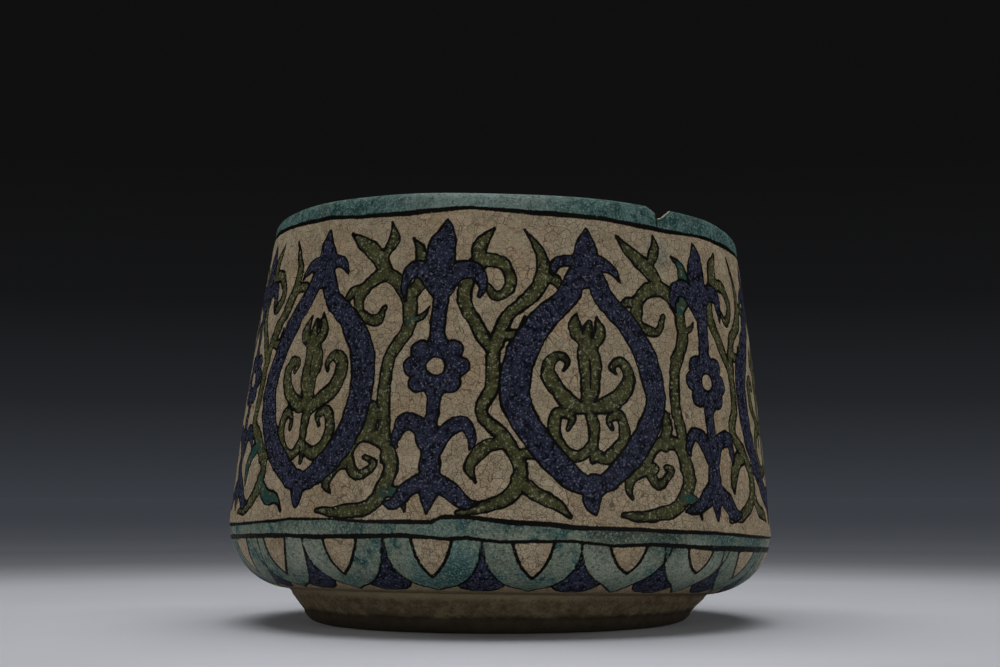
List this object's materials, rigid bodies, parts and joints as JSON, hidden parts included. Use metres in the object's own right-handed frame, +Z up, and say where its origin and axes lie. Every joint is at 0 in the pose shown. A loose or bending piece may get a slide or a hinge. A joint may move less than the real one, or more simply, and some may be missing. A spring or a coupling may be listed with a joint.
{
  "type": "footed pottery bowl",
  "caption": "Deep footed ceramic bowl with a tapering wall, rounded lower dish, turquoise glazed rim and stripe, painted frieze and petal border, for holding food or dry goods.",
  "frame": {"origin": "middle of the foot ring, on the surface that the bowl stands on", "axes": "+Z up along the bowl's turning axis; the painted front faces -Y"},
  "size_m": [0.21, 0.21, 0.152],
  "materials": {
    "bare_clay": "matte, unglazed, stained",
    "turquoise_glaze": "mottled satin glaze",
    "painted_glaze": "crackled satin glaze over painted ornament",
    "cream_glaze": "crackled satin glaze"
  },
  "bodies": {
    "root": {"foot_ring": "bare_clay", "base_dish": "bare_clay", "wall": "bare_clay", "rim_glaze": "turquoise_glaze", "frieze_glaze": "painted_glaze", "stripe_glaze": "turquoise_glaze", "petal_glaze": "painted_glaze", "inside_glaze": "cream_glaze"}
  },
  "joints": []
}
